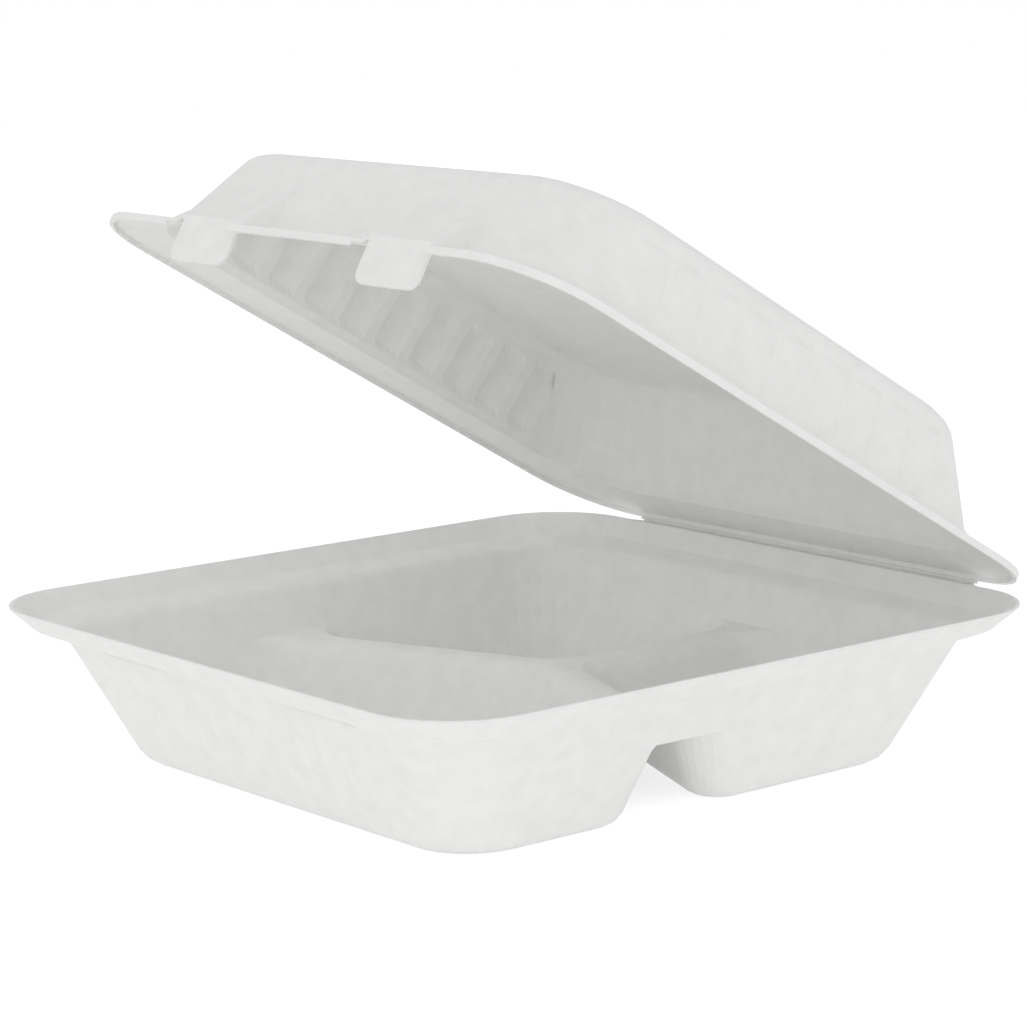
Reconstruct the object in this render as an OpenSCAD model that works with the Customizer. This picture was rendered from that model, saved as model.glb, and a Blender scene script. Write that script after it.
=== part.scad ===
// Moulded fibre clamshell food container: a three-compartment tray and a domed lid that folds at a hinge.
// The origin is on the table, in the middle of the open container's footprint. +Y runs to the hinge, +X to the right.

/* [Tray] */
// Width of the tray's rim, along the hinge
tray_w = 228.6; // [205:1:260]
// Depth of the tray's rim, from front to hinge
tray_d = 240; // [215:1:270]
// Height of the tray, floor to rim
tray_h = 48.5; // [43:0.5:56]
// Corner radius of the tray's rim
tray_corner = 28; // [25:1:38]
// Width of the flared rim, edge to shoulder
rim_w = 13; // [11:0.2:14]
// Drop of the flared rim, edge to shoulder
rim_drop = 9.2; // [8.4:0.1:10]
// Width of the upturned lip at the rim's edge
rim_lip_w = 5.6; // [4.6:0.2:6.4]
// Drop of the upturned lip, edge to land
rim_lip_drop = 6.2; // [5.2:0.1:6.8]
// Slope of the tray's walls from vertical, in degrees
wall_draft = 25.5; // [20:0.5:30]
// Radius where the walls meet the floor
floor_fillet = 7; // [4:0.5:8]
// Blend radius at the shoulder under the rim
shoulder_blend = 4; // [2:0.5:6]

/* [Sheet] */
// Thickness of the moulded sheet
sheet = 1; // [0.7:0.1:1.3]
// Height of the trimmed edge round both rims
edge_h = 0.6; // [0.4:0.1:0.8]

/* [Divider] */
// Height of the divider's crest above the floor
divider_h = 26.5; // [22:0.5:30]
// Distance of the divider's centre behind the middle of the tray
divider_y = 20; // [8:1:28]
// Distance by which the divider's arms come forward on their way to the side walls
arm_run = 36; // [20:1:44]
// Radius of the divider's crest
crest_radius = 7; // [5:0.5:8]
// Slope of the divider's sides from vertical, in degrees
divider_draft = 20; // [14:1:22]
// Corner radius of a compartment where the divider meets a wall
pocket_corner = 13; // [11:0.5:16]
// Corner radius of a compartment where the divider's branches meet
branch_corner = 15; // [11:0.5:18]

/* [Lid] */
// Clearance from the tray's edge in to the closed lid's edge, at each side
lid_side_in = 6.6; // [6:0.1:9]
// Clearance from the tray's edge in to the closed lid's edge, at the front
lid_front_in = 6; // [5.6:0.1:7]
// Corner radius of the lid's rim
lid_corner = 28; // [22:1:34]
// Height of the lid, rim to top
lid_h = 37.5; // [33:0.5:45]
// Height of the upright lip at the lid's edge
lid_lip_h = 2.2; // [1.4:0.1:2.8]
// Width of the lid's flared rim
lid_rim_w = 13.2; // [11:0.2:14]
// Rise of the lid's rim, edge to wall
lid_rim_rise = 6; // [5:0.2:7]
// Inset of the lid's top from its rim at the sides
top_inset_side = 20.5; // [17:0.5:24]
// Inset of the lid's top from its rim at the front
top_inset_front = 27; // [22:0.5:30]
// Inset of the lid's top from its rim at the hinge side
top_inset_back = 32; // [24:0.5:36]
// Corner radius of the lid's top
top_corner = 26; // [20:1:32]
// Radius where the lid's walls meet its top
top_fillet = 7; // [4:0.5:9]
// Angle by which the lid is open as shown, in degrees
open_angle = 29.5; // [15:0.5:90]

/* [Hinge] */
// Width of the folding strip behind the tray's rim
strip_w = 4; // [3:0.5:6]
// Drop of the strip from the rim to the fold
strip_drop = 0.7; // [0.4:0.1:1]
// Thickness of the pressed strip
strip_t = 0.6; // [0.4:0.1:0.8]
// Length of the strip that each end leaves free beside the lid's corner
strip_end = 2; // [0:1:20]
// Clearance of the closed lid's edge above the tray's rim
lid_clearance = 0.4; // [0.3:0.1:1]
// Clearance between the two halves of the fold
fold_gap = 0.3; // [0.2:0.05:0.4]

/* [Ribs and flutes] */
// Number of fine ribs on the tray's front wall
rib_count = 10; // [4:1:12]
// Spacing of the ribs
rib_pitch = 10.5; // [8:0.5:12]
// Width of a rib
rib_w = 3.4; // [2:0.2:5]
// Height of a rib above the wall
rib_h = 0.6; // [0.3:0.1:1]
// Distance of the ribs' lower ends above the floor
rib_low = 13; // [10:0.5:15]
// Distance of the ribs' upper ends above the floor
rib_high = 29; // [24:0.5:33]
// Number of flutes on each side wall of the lid
flute_count = 9; // [5:1:9]
// Spacing of the flutes
flute_pitch = 16; // [14:0.5:17]
// Width of a flute
flute_w = 12.5; // [8:0.5:13.5]
// Height of a flute above the wall
flute_h = 1.3; // [0.5:0.1:1.6]

/* [Closure] */
// Distance of each tab from the middle of the front
tab_x = 45; // [36:1:52]
// Width of a tab
tab_w = 28; // [20:1:32]
// Length of a tab below the lid's rim
tab_l = 9; // [7:0.5:10]
// Distance of a tab behind the lid's front edge
tab_inset = 5.7; // [5:0.1:6]
// Clearance at each end of a tab in its slit
tab_end_clearance = 2.6; // [1:0.1:4]
// Clearance on each face of a tab in its slit
tab_face_clearance = 0.7; // [0.6:0.05:0.9]
// Clearance at each end of a tab in the notch of the lid's rim
notch_clearance = 0.8; // [0.6:0.1:1.5]
// Distance of a facet's foot behind the lid's front edge
facet_in = 2.8; // [2.2:0.1:3.4]
// Slope of the facet above each tab from vertical, in degrees
facet_slope = 41; // [34:1:44]
// Extra width of a facet's foot on each side of its tab
facet_margin = 4; // [2:0.5:6]
// Narrowing of a facet on each side, foot to top
facet_taper = 5; // [2:0.5:8]

/* [Hidden] */
fibre = [0.94, 0.94, 0.93];
arc_steps = 8;
overshoot = 1;
hair = 0.05;

// Unit normal of a profile point in the plane of the section: 0 faces outwards, 90 faces down
function normal_at(a) = [cos(a), -sin(a)];

// Centre of a blend of radius r that is tangent to two faces with normals at a1 and a2
function blend_centre(corner, a1, a2, r) =
    corner + r * (normal_at(a1) + normal_at(a2)) / (1 + normal_at(a1) * normal_at(a2));

// Plan outline with rounded corners. Each side is [direction of its normal, distance from the origin]
function turn(a, b) = (b - a + 720) % 360;
function corner_centre(s1, s2, r) =
    let (c1 = s1[1] - r, c2 = s2[1] - r, k = sin(s2[0] - s1[0]))
    [(c1 * sin(s2[0]) - c2 * sin(s1[0])) / k, (c2 * cos(s1[0]) - c1 * cos(s2[0])) / k];
function outline(sides, radii) = [
    for (i = [0:len(sides) - 1])
        let (
            next = sides[(i + 1) % len(sides)],
            centre = corner_centre(sides[i], next, radii[i]),
            swing = turn(sides[i][0], next[0])
        )
        for (k = [0:arc_steps])
            let (a = sides[i][0] + swing * k / arc_steps)
            centre + radii[i] * [cos(a), sin(a)]];
function move_in(sides, insets) = [for (i = [0:len(sides) - 1]) [sides[i][0], sides[i][1] - insets[i]]];

// Solid through a stack of outlines, from the lowest to the highest. split halves the wall faces that would warp
module loft(outlines, heights, split = false) {
    n = len(outlines[0]);
    m = len(outlines);
    points = [for (i = [0:m - 1]) for (p = outlines[i]) [p[0], p[1], heights[i]]];
    quads = [for (i = [0:m - 2]) for (j = [0:n - 1])
        [i * n + j, (i + 1) * n + j, (i + 1) * n + (j + 1) % n, i * n + (j + 1) % n]];
    walls = split ? [for (q = quads) each [[q[0], q[1], q[2]], [q[0], q[2], q[3]]]] : quads;
    floor_face = [for (j = [0:n - 1]) j];
    top_face = [for (j = [n - 1:-1:0]) (m - 1) * n + j];
    polyhedron(points, concat([floor_face], walls, [top_face]));
}

// Upright ridge with soft ends on a face that looks along -Y. Its foot line is at face(z)
ridge_root = 0.3;
module ridge(width, height, levels, feet) {
    last = len(levels) - 1;
    profile = [[-0.5, 0], [-0.3, 0.62], [-0.1, 0.97], [0.1, 0.97], [0.3, 0.62], [0.5, 0]];
    loft([for (i = [0:last])
        let (h = i == 0 || i == last ? hair : height + hair)
        concat([for (p = profile) [p[0] * width, -feet[i] + hair - p[1] * h]],
            [[width / 2, -feet[i] + ridge_root], [-width / 2, -feet[i] + ridge_root]])],
        levels, split = true);
}

// Tray: distance in from the rim's edge at each height. skin is 0 on the outside and sheet on the inside
lip_slope = atan(rim_lip_drop / rim_lip_w);
lip_face = 90 - lip_slope;
land_face = 90 - atan((rim_drop - rim_lip_drop) / (rim_w - rim_lip_w));
shoulder_z = tray_h - edge_h - rim_drop;
shoulder_steps = 3;
shoulder_centre = blend_centre([-rim_w, shoulder_z], wall_draft, land_face, shoulder_blend);
lip_blend = 4;
lip_centre = blend_centre([-rim_lip_w, tray_h - edge_h - rim_lip_drop], land_face, lip_face, -lip_blend);
fillet_angles = [90, 70, 50, wall_draft];
function wall_line(z) = rim_w + (shoulder_z - z) * tan(wall_draft);
floor_centre_in = wall_line(floor_fillet) + floor_fillet / cos(wall_draft);
function wall_in(z, skin) =
    let (r = floor_fillet - skin)
    z < floor_fillet - r * sin(wall_draft)
        ? floor_centre_in - sqrt(max(0, pow(r, 2) - pow(z - floor_fillet, 2)))
        : wall_line(z) + skin / cos(wall_draft);
rim_land = (sheet / cos(lip_slope) - edge_h) / tan(lip_slope);
function floor_levels(skin) = [for (a = fillet_angles) floor_fillet - (floor_fillet - skin) * sin(a)];
function tray_section(skin) = concat(
    [for (z = floor_levels(skin)) [wall_in(z, skin), z]],
    [for (k = [0:shoulder_steps])
        let (a = wall_draft + (land_face - wall_draft) * k / shoulder_steps,
            p = shoulder_centre - (shoulder_blend + skin) * normal_at(a))
        [-p[0], p[1]]],
    [for (k = [0:shoulder_steps])
        let (a = land_face + (lip_face - land_face) * k / shoulder_steps,
            p = lip_centre + (lip_blend - skin) * normal_at(a))
        [-p[0], p[1]]],
    skin == 0
        ? [[0, tray_h - edge_h], [0, tray_h]]
        : [[rim_land, tray_h], [rim_land - overshoot / tan(lip_slope), tray_h + overshoot]]);

tray_sides = [[270, tray_d / 2], [0, tray_w / 2], [90, tray_d / 2], [180, tray_w / 2]];
corner_taper = 0.17;
function tray_corner_at(inset, z) = tray_corner - (tray_h - z) * corner_taper - max(0, inset - wall_line(z)) / 2;
module tray_body(skin) {
    section = tray_section(skin);
    loft([for (p = section) outline(move_in(tray_sides, [for (i = [0:3]) p[0]]),
            [for (i = [0:3]) tray_corner_at(p[0], p[1])])],
        [for (p = section) p[1]]);
}

// Compartments: distance from the divider's middle line to a compartment at each height
crest_z = divider_h - crest_radius;
crest_flat = 1;
crest_angles = [divider_draft, 38, 56, 73, 90];
function crest_r(skin) = crest_radius - sheet + skin;
function side_line(z, skin) = crest_flat + crest_r(skin) / cos(divider_draft) + (crest_z - z) * tan(divider_draft);
foot_centre_in = side_line(floor_fillet, 0) + floor_fillet / cos(divider_draft);
function divider_in(z, skin) =
    let (r = crest_r(skin), f = floor_fillet - skin)
    z > crest_z + r * sin(divider_draft)
        ? crest_flat + sqrt(max(0, pow(r, 2) - pow(z - crest_z, 2)))
        : z < floor_fillet - f * sin(divider_draft)
            ? foot_centre_in - sqrt(max(0, pow(f, 2) - pow(z - floor_fillet, 2)))
            : side_line(z, skin);
function pocket_levels(skin) = concat(floor_levels(skin),
    [for (a = crest_angles) crest_z + crest_r(skin) * sin(a)], [divider_h + 2 * overshoot]);

arm_reach = tray_w / 2 - wall_line(divider_h / 2);
arm_angle = atan(arm_run / arm_reach);
arm_offset = divider_y * cos(arm_angle);
tray_edge = 0;
wall_end = 1;
branch = 2;
// Each side of a compartment: [direction, distance, whether the divider forms it]; then the kind of each corner
front_pocket = [
    [[270, tray_d / 2, false], [0, tray_w / 2, false], [90 - arm_angle, arm_offset, true],
        [90 + arm_angle, arm_offset, true], [180, tray_w / 2, false]],
    [tray_edge, wall_end, branch, wall_end, tray_edge]];
right_pocket = [
    [[0, tray_w / 2, false], [90, tray_d / 2, false], [180, 0, true], [270 - arm_angle, -arm_offset, true]],
    [tray_edge, wall_end, branch, wall_end]];
left_pocket = [
    [[0, 0, true], [90, tray_d / 2, false], [180, tray_w / 2, false], [270 + arm_angle, -arm_offset, true]],
    [wall_end, tray_edge, wall_end, branch]];
pocket_taper = 0.15;
function divider_corner_at(radius, z, skin) =
    radius - (divider_h - z) * pocket_taper + (side_line(z, skin) - divider_in(z, skin)) / 2;
module compartment(pocket, skin) {
    levels = pocket_levels(skin);
    loft([for (z = levels)
        outline(
            move_in(pocket[0], [for (s = pocket[0]) s[2] ? divider_in(z, skin) : wall_in(z, skin) - hair]),
            [for (kind = pocket[1])
                kind == tray_edge ? tray_corner_at(wall_in(z, skin), z) - hair
                : divider_corner_at(kind == branch ? branch_corner : pocket_corner, z, skin)])],
        levels);
}

rib_levels = [rib_low, rib_low + 2 * rib_h + 1, rib_high - 2 * rib_h - 1, rib_high];
module ribs(skin) {
    for (i = [0:rib_count - 1])
        translate([(i - (rib_count - 1) / 2) * rib_pitch, 0, 0])
            ridge(rib_w, rib_h, rib_levels, [for (z = rib_levels) tray_d / 2 - wall_in(z, skin)]);
}

module tray_form(skin) {
    cavity_floor = divider_h - sheet + skin;
    intersection() {
        tray_body(skin);
        union() {
            translate([-tray_w, -tray_d, cavity_floor]) cube([2 * tray_w, 2 * tray_d, tray_h]);
            compartment(front_pocket, skin);
            compartment(right_pocket, skin);
            compartment(left_pocket, skin);
        }
    }
    ribs(skin);
}

// Lid, closed and with the middle of its hinge edge at the origin
hinge_y = tray_d / 2 + strip_w;
lid_w = tray_w - 2 * lid_side_in;
lid_d = hinge_y + tray_d / 2 - lid_front_in;
lid_sides = [[270, lid_d], [0, lid_w / 2], [90, 0], [180, lid_w / 2]];
top_insets = [top_inset_front, top_inset_side, top_inset_back, top_inset_side];
lid_rim_slope = atan((lid_rim_rise - lid_lip_h) / lid_rim_w);
lid_fillet_z = lid_h - top_fillet;
lid_fillet_angles = [12, 28, 45, 65, 90];
lid_blend_below = 0.8;
lid_blend_above = 1.8;
function lid_draft(i) = atan((top_insets[i] - lid_rim_w) / (lid_h - lid_rim_rise));
function lid_line(i, z) = lid_rim_w + (z - lid_rim_rise) * tan(lid_draft(i));
function lid_rim_in(z, skin) = (z - lid_lip_h + skin / cos(lid_rim_slope)) / tan(lid_rim_slope);
function lid_in(i, z, skin) =
    let (draft = lid_draft(i), r = top_fillet - skin, centre = lid_line(i, lid_fillet_z) + top_fillet / cos(draft))
    z > lid_fillet_z + r * sin(draft)
        ? centre - sqrt(max(0, pow(r, 2) - pow(z - lid_fillet_z, 2)))
        : min(max(skin, lid_rim_in(z, skin)), lid_line(i, z) + skin / cos(draft));
function lid_levels(skin) = concat(
    [skin == 0 ? 0 : -overshoot, lid_lip_h + skin * tan(lid_rim_slope) - skin / cos(lid_rim_slope)],
    [lid_rim_rise - lid_blend_below - skin / 2, lid_rim_rise + lid_blend_above - skin / 2],
    [for (a = lid_fillet_angles) lid_fillet_z + (top_fillet - skin) * sin(a)]);
function lid_corner_at(z) = lid_corner + (top_corner - lid_corner) * z / lid_h;
module lid_body(skin) {
    levels = lid_levels(skin);
    loft([for (z = levels) outline(move_in(lid_sides, [for (i = [0:3]) lid_in(i, z, skin)]),
            [for (i = [0:3]) lid_corner_at(z)])],
        levels);
}

flute_levels = [lid_rim_rise + lid_blend_above, lid_rim_rise + lid_blend_above + 2 * flute_h,
    lid_fillet_z - 2 * flute_h, lid_fillet_z];
module flutes(skin) {
    for (side = [1, -1])
        for (i = [0:flute_count - 1])
            translate([0, -lid_d / 2 + (i - (flute_count - 1) / 2) * flute_pitch, 0])
                rotate([0, 0, side * 90])
                    ridge(flute_w, flute_h, flute_levels,
                        [for (z = flute_levels) lid_w / 2 - lid_in(1, z, skin)]);
}

// Facet above each tab: it leans from the lid's edge back to the front wall. Its face is at facet_at(z) behind the edge
function facet_at(z, skin) = facet_in + (z - lid_lip_h) * tan(facet_slope) + skin / cos(facet_slope);
facet_top = (lid_rim_w - facet_in + lid_lip_h * tan(facet_slope) - lid_rim_rise * tan(lid_draft(0)))
    / (tan(facet_slope) - tan(lid_draft(0)));
facet_foot = lid_lip_h / 2;
module facet(skin) {
    levels = [facet_foot, facet_top];
    loft([for (z = levels)
        let (half = tab_w / 2 + facet_margin - skin - (z - facet_foot) / (facet_top - facet_foot) * facet_taper,
            front = -lid_d + facet_at(z, skin), back = -lid_d + facet_at(facet_top, skin) + overshoot)
        [[-half, front], [half, front], [half, back], [-half, back]]],
        levels);
}

module lid_form(skin) {
    lid_body(skin);
    for (side = [-1, 1])
        translate([side * tab_x, 0, 0]) facet(skin);
    flutes(skin);
}

// Notch in the lid's rim in front of a tab
notch_half = tab_w / 2 + notch_clearance;
notch_top = lid_lip_h + (tab_inset - facet_in) / tan(facet_slope) + overshoot;
module notch() {
    translate([-notch_half, -lid_d - overshoot, -overshoot])
        cube([2 * notch_half, tab_inset + overshoot, notch_top + overshoot]);
}

// Tongue with rounded lower corners, seen from the front
tab_corner = 4;
tab_root = lid_lip_h + (tab_inset - facet_in) / tan(facet_slope) - hair;
module tab_blade() {
    translate([0, -lid_d + tab_inset + sheet, 0])
        rotate([90, 0, 0])
            linear_extrude(sheet) {
                translate([-tab_w / 2, -tab_l + tab_corner]) square([tab_w, tab_l - tab_corner + tab_root]);
                translate([-tab_w / 2 + tab_corner, -tab_l]) square([tab_w - 2 * tab_corner, tab_l]);
                for (side = [-1, 1])
                    translate([side * (tab_w / 2 - tab_corner), -tab_l + tab_corner]) circle(tab_corner, $fn = 32);
            }
}

hinge_z = tray_h - strip_drop;
fold_rise = strip_drop + lid_clearance;
back_y = hinge_y + (fold_rise + lid_lip_h) * sin(open_angle);
middle_y = (back_y - tray_d / 2) / 2;
strip_half = lid_w / 2 - lid_corner - strip_end;

// Slit in the tray's rim for a tab of the closed lid
slit_w = sheet + 2 * tab_face_clearance;
slit_half = tab_w / 2 + tab_end_clearance;
slit_y = hinge_y - lid_d + tab_inset + sheet / 2;
module slit() {
    translate([0, slit_y, shoulder_z - tray_h / 4]) {
        translate([-slit_half + slit_w / 2, -slit_w / 2, 0]) cube([2 * slit_half - slit_w, slit_w, tray_h]);
        for (side = [-1, 1])
            translate([side * (slit_half - slit_w / 2), 0, 0]) cylinder(h = tray_h, r = slit_w / 2, $fn = 24);
    }
}

strip_gap = 0.2;
module strip() {
    root = rim_land / 2;
    rotate([90, 0, 90])
        linear_extrude(2 * strip_half, center = true)
            polygon([[tray_d / 2 - root, tray_h], [tray_d / 2, tray_h], [hinge_y - strip_gap, hinge_z],
                [hinge_y - strip_gap, hinge_z - strip_t], [tray_d / 2, tray_h - edge_h], [tray_d / 2 - root, tray_h - edge_h]]);
}

// The lid's half of the fold, below its rim
lip_t = 0.8 * strip_t;
module lip() {
    translate([-strip_half, -lip_t, fold_gap - fold_rise]) cube([2 * strip_half, lip_t, fold_rise - fold_gap + edge_h / 2]);
}

module tray() {
    color(fibre)
        translate([0, -middle_y, 0])
            difference() {
                union() {
                    difference() {
                        tray_form(0);
                        tray_form(sheet);
                    }
                    strip();
                }
                for (side = [-1, 1])
                    translate([side * tab_x, 0, 0]) slit();
            }
}

module lid() {
    color(fibre)
        translate([0, hinge_y - middle_y, hinge_z])
            rotate([-open_angle, 0, 0])
                translate([0, 0, fold_rise]) {
                    difference() {
                        lid_form(0);
                        lid_form(sheet);
                        for (side = [-1, 1])
                            translate([side * tab_x, 0, 0]) notch();
                    }
                    lip();
                    for (side = [-1, 1])
                        translate([side * tab_x, 0, 0]) tab_blade();
                }
}

tray();
lid();
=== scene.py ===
import bpy, math
from mathutils import Matrix, Vector


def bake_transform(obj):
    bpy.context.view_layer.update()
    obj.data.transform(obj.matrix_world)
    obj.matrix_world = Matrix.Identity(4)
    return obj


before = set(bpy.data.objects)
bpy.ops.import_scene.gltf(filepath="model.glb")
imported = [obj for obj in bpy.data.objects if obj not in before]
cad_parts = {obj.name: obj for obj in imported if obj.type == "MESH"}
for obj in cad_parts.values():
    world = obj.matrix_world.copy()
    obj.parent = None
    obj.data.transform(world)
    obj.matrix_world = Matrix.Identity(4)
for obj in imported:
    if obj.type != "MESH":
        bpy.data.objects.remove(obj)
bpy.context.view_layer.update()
print("frame loaded:", sorted(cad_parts))


def hexColour(code):  # sRGB hex to linear RGBA
    parts = [int(code[i:i + 2], 16) / 255 for i in (1, 3, 5)]
    return tuple(c / 12.92 if c <= 0.04045 else ((c + 0.055) / 1.055) ** 2.4 for c in parts) + (1.0,)


def node(tree, kind, sets=None, links=None):  # adds a node, sets its values and joins its inputs
    made = tree.nodes.new(kind)
    for key, value in (sets or {}).items():
        if isinstance(key, str) and hasattr(made, key):
            setattr(made, key, value)
        else:
            made.inputs[key].default_value = value
    for key, source in (links or {}).items():
        tree.links.new(source, made.inputs[key])
    return made


# moulded bagasse: sugar-cane fibre pressed wet and dried, matte, faintly clouded, with short fibres in the skin
fibreLook = {
    "pale": "#F7F7F6",
    "cloud": "#F2F2F1",
    "fleck": "#E4E3E0",
    "cloudMm": 7.0,   # size of the clouds left by uneven pulp
    "cloudRange": (0.35, 0.7),   # part of the noise over which a cloud fades in
    "cloudBump": (0.12, 0.0004),   # strength, and depth in metres
    "fibreMm": 0.9,   # length of a fibre bundle, drawn a little coarse so that it shows
    "fibreStretch": (1.0, 1.0, 2.2),
    "fibreTurn": (0.3, 0.2, 0.9),
    "fleckRange": (0.22, 0.34),   # a fleck shows where the noise is below this
    "fibreBump": (0.25, 0.0001),
    "roughness": 0.82,
    "ior": 1.45,
    "specular": 0.25,   # dry fibre scatters more than a solid skin, so it shines less
}


def mouldedFibre(look):
    mat = bpy.data.materials.new("mouldedBagasseFibre")
    mat.use_nodes = True
    tree = mat.node_tree
    shader = tree.nodes["Principled BSDF"]
    place = node(tree, "ShaderNodeTexCoord").outputs["Object"]
    clouds = node(tree, "ShaderNodeTexNoise", {"Scale": 1000 / look["cloudMm"], "Detail": 4.0, "Roughness": 0.6},
                  {"Vector": place})
    stretch = node(tree, "ShaderNodeMapping", {"Scale": look["fibreStretch"], "Rotation": look["fibreTurn"]},
                   {"Vector": place})
    fibres = node(tree, "ShaderNodeTexNoise",
                  {"Scale": 1000 / look["fibreMm"], "Detail": 3.0, "Roughness": 0.7, "Distortion": 1.6},
                  {"Vector": stretch.outputs["Vector"]})
    flecks = node(tree, "ShaderNodeValToRGB", {}, {"Fac": fibres.outputs["Fac"]})
    for stop, position, grey in zip(flecks.color_ramp.elements, look["fleckRange"], (1, 0)):
        stop.position = position
        stop.color = (grey, grey, grey, 1)
    low, high = look["cloudRange"]
    cloudRamp = node(tree, "ShaderNodeMapRange", {"From Min": low, "From Max": high}, {"Value": clouds.outputs["Fac"]})
    cloudMix = node(tree, "ShaderNodeMix",
                    {"data_type": "RGBA", 6: hexColour(look["pale"]), 7: hexColour(look["cloud"])},
                    {"Factor": cloudRamp.outputs["Result"]})
    fleckMix = node(tree, "ShaderNodeMix", {"data_type": "RGBA", 7: hexColour(look["fleck"])},
                    {6: cloudMix.outputs[2], "Factor": flecks.outputs["Color"]})
    coarse = node(tree, "ShaderNodeBump", {"Strength": look["cloudBump"][0], "Distance": look["cloudBump"][1]},
                  {"Height": clouds.outputs["Fac"]})
    fine = node(tree, "ShaderNodeBump", {"Strength": look["fibreBump"][0], "Distance": look["fibreBump"][1]},
                {"Height": fibres.outputs["Fac"], "Normal": coarse.outputs["Normal"]})
    tree.links.new(fleckMix.outputs[2], shader.inputs["Base Color"])
    tree.links.new(fine.outputs["Normal"], shader.inputs["Normal"])
    shader.inputs["Roughness"].default_value = look["roughness"]
    shader.inputs["IOR"].default_value = look["ior"]
    shader.inputs["Specular IOR Level"].default_value = look["specular"]
    return mat


fibre = mouldedFibre(fibreLook)
for name in ("tray", "lid"):
    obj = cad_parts[name]
    obj.data.materials.clear()
    obj.data.materials.append(fibre)
print("fibre material set")

# pressed fold: the thin skin between the tray's strip and the lid's lip, so that no light shows through the crease
fold = {
    "halfLength": 0.0763,   # a little less than half the strip's length along the hinge
    "hinge": (0.1211875, 0.0478),   # y and z of the fold's line
    "section": [(-0.0010, -0.0003), (-0.0002, -0.0003), (0.00002, 0.0001), (0.00004, 0.00055),
                (0.00028, 0.00098)],   # y and z from the fold's line, from inside the strip to inside the lip
    "thick": 0.00022,
    "smooth": 40.0,   # degrees
}


def selectLine(mesh, y, z):  # leaves only the edge along X at y, z selected
    near = 1e-6
    for part in (*mesh.vertices, *mesh.edges, *mesh.polygons):
        part.select = False
    for edge in mesh.edges:
        ends = [mesh.vertices[i] for i in edge.vertices]
        if all(abs(end.co.y - y) + abs(end.co.z - z) < near for end in ends):
            edge.select = True
            for end in ends:
                end.select = True


def addFold(f):
    points = [(f["hinge"][0] + y, f["hinge"][1] + z) for y, z in f["section"]]
    bpy.ops.object.select_all(action="DESELECT")
    bpy.ops.mesh.primitive_plane_add(size=1, location=(0, 0, 0))
    skin = bpy.context.object
    skin.name = "foldSkin"
    for vertex in skin.data.vertices:
        y, z = points[1] if vertex.co.y > 0 else points[0]
        vertex.co = (math.copysign(f["halfLength"], vertex.co.x), y, z)
    for before, after in zip(points[1:], points[2:]):
        selectLine(skin.data, *before)
        step = (0, after[0] - before[0], after[1] - before[1])
        bpy.ops.object.mode_set(mode="EDIT")
        bpy.ops.mesh.select_mode(type="EDGE")
        bpy.ops.mesh.extrude_region_move(TRANSFORM_OT_translate={"value": step})
        bpy.ops.object.mode_set(mode="OBJECT")
    solid = skin.modifiers.new("thickness", "SOLIDIFY")
    solid.thickness = f["thick"]
    solid.offset = 0
    bpy.ops.object.modifier_apply(modifier=solid.name)
    bpy.ops.object.mode_set(mode="EDIT")
    bpy.ops.mesh.select_all(action="SELECT")
    bpy.ops.mesh.normals_make_consistent(inside=False)
    bpy.ops.object.mode_set(mode="OBJECT")
    bpy.ops.object.shade_smooth_by_angle(angle=math.radians(f["smooth"]))
    skin.data.materials.append(fibre)
    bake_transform(skin)


addFold(fold)
print("fold closed")

# camera: solved from the outlines in the photograph, in the part's frame
view = {
    "azimuth": 50.09,   # degrees, as are the next two
    "elevation": 10.269,
    "roll": -0.69,
    "distance": 1.0391,   # metres, as are the next three
    "side": 0.000823,
    "height": 0.0757,
    "shiftY": -0.0024,
    "focal": 3422.7,   # pixels, for a frame of this many pixels
    "frame": 1027.0,
    "sensor": 36.0,   # millimetres
}


def addCamera(v):
    az, el, roll = (math.radians(v[k]) for k in ("azimuth", "elevation", "roll"))
    back = Vector((math.sin(az) * math.cos(el), -math.cos(az) * math.cos(el), math.sin(el)))
    right = Vector((math.cos(az), math.sin(az), 0))
    up = back.cross(right)
    rolledRight = math.cos(roll) * right + math.sin(roll) * up
    rolledUp = back.cross(rolledRight)
    data = bpy.data.cameras.new("camera")
    data.sensor_width = v["sensor"]
    data.lens = v["focal"] / v["frame"] * v["sensor"]
    camera = bpy.data.objects.new("camera", data)
    bpy.context.scene.collection.objects.link(camera)
    spot = right * v["side"] + Vector((0, v["shiftY"], v["height"])) + back * v["distance"]
    turn = Matrix((rolledRight, rolledUp, back)).transposed().to_4x4()
    camera.matrix_world = Matrix.Translation(spot) @ turn
    bpy.context.scene.camera = camera


addCamera(view)
print("camera set")

# soft studio light: a pale room, a broad key beside the camera and a weak fill from the left
studio = {
    "room": 0.74,
    "lamps": {"key": ((1.2, -1.05, 0.45), 2.5), "fill": ((-1.3, -0.7, 0.8), 0.8)},   # place in metres, and watts
    "lampSize": 1.6,
    "aim": (0, 0, 0.08),
    "floor": "#F4F4F4",
    "floorRadius": 3.0,
    "floorDrop": 0.0002,   # the floor lies this far below the part, so that no faces meet
    "floorGlow": 0.2,
    "backdropGlow": 0.35,   # only the camera sees this, and it makes the floor white
}
white = (1, 1, 1, 1)


def addSoftLight(name, spot, watts):
    data = bpy.data.lights.new(name, "AREA")
    data.shape = "DISK"
    data.size = studio["lampSize"]
    data.energy = watts
    lamp = bpy.data.objects.new(name, data)
    bpy.context.scene.collection.objects.link(lamp)
    aim = (Vector(studio["aim"]) - Vector(spot)).to_track_quat("-Z", "Y").to_matrix().to_4x4()
    lamp.matrix_world = Matrix.Translation(spot) @ aim


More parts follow.
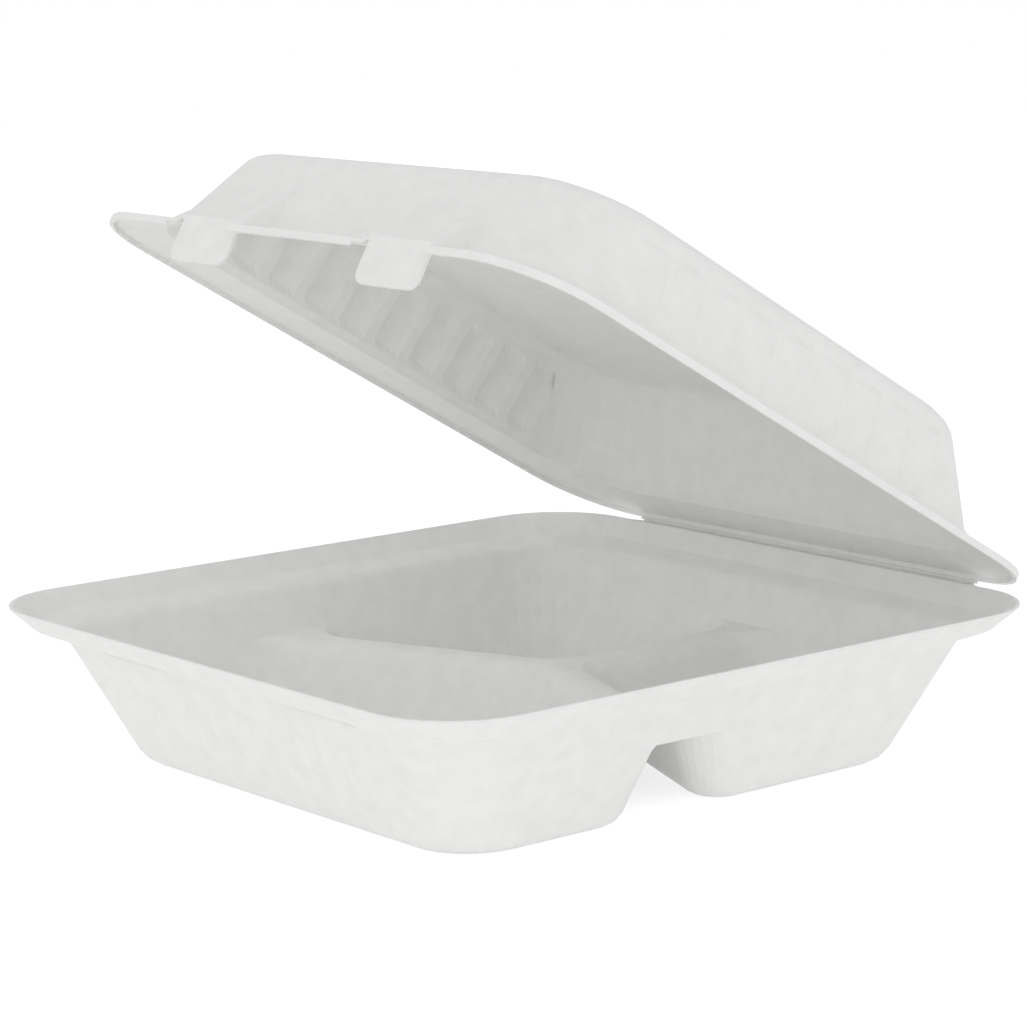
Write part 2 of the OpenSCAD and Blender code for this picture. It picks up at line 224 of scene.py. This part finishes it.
def seenRay(tree):  # 1 where the camera sees the surface, straight or by a reflection or through glass
    path = node(tree, "ShaderNodeLightPath")
    seen = node(tree, "ShaderNodeMath", {"operation": "MAXIMUM"},
                {0: path.outputs["Is Camera Ray"], 1: path.outputs["Is Glossy Ray"]})
    seenAll = node(tree, "ShaderNodeMath", {"operation": "MAXIMUM"},
                   {0: seen.outputs[0], 1: path.outputs["Is Transmission Ray"]})
    return seenAll.outputs[0]


def addRoom():
    world = bpy.data.worlds.new("room")
    bpy.context.scene.world = world
    world.use_nodes = True
    tree = world.node_tree
    tree.nodes.clear()
    plain = node(tree, "ShaderNodeBackground", {"Color": white, "Strength": studio["room"]})
    bright = node(tree, "ShaderNodeBackground", {"Color": white, "Strength": 1.0})
    both = node(tree, "ShaderNodeMixShader", {}, {0: seenRay(tree), 1: plain.outputs[0], 2: bright.outputs[0]})
    node(tree, "ShaderNodeOutputWorld", {}, {"Surface": both.outputs[0]})


def addFloor():
    bpy.ops.object.select_all(action="DESELECT")
    bpy.ops.mesh.primitive_circle_add(vertices=96, radius=studio["floorRadius"], fill_type="NGON",
                                      location=(0, 0, -studio["floorDrop"]))
    floor = bpy.context.object
    floor.name = "studioFloor"
    mat = bpy.data.materials.new("paleStudioFloor")
    mat.use_nodes = True
    tree = mat.node_tree
    tree.nodes.clear()
    matte = node(tree, "ShaderNodeBsdfDiffuse", {"Color": hexColour(studio["floor"])})
    glow = node(tree, "ShaderNodeEmission", {"Color": white, "Strength": studio["floorGlow"]})
    backdrop = node(tree, "ShaderNodeEmission", {"Color": white, "Strength": studio["backdropGlow"]})
    lit = node(tree, "ShaderNodeAddShader", {}, {0: matte.outputs[0], 1: glow.outputs[0]})
    bright = node(tree, "ShaderNodeAddShader", {}, {0: lit.outputs[0], 1: backdrop.outputs[0]})
    both = node(tree, "ShaderNodeMixShader", {}, {0: seenRay(tree), 1: lit.outputs[0], 2: bright.outputs[0]})
    node(tree, "ShaderNodeOutputMaterial", {}, {"Surface": both.outputs[0]})
    floor.data.materials.append(mat)


for name, (spot, watts) in studio["lamps"].items():
    addSoftLight(name, spot, watts)
addRoom()
addFloor()
bpy.context.scene.view_settings.view_transform = "Standard"
print("studio set")
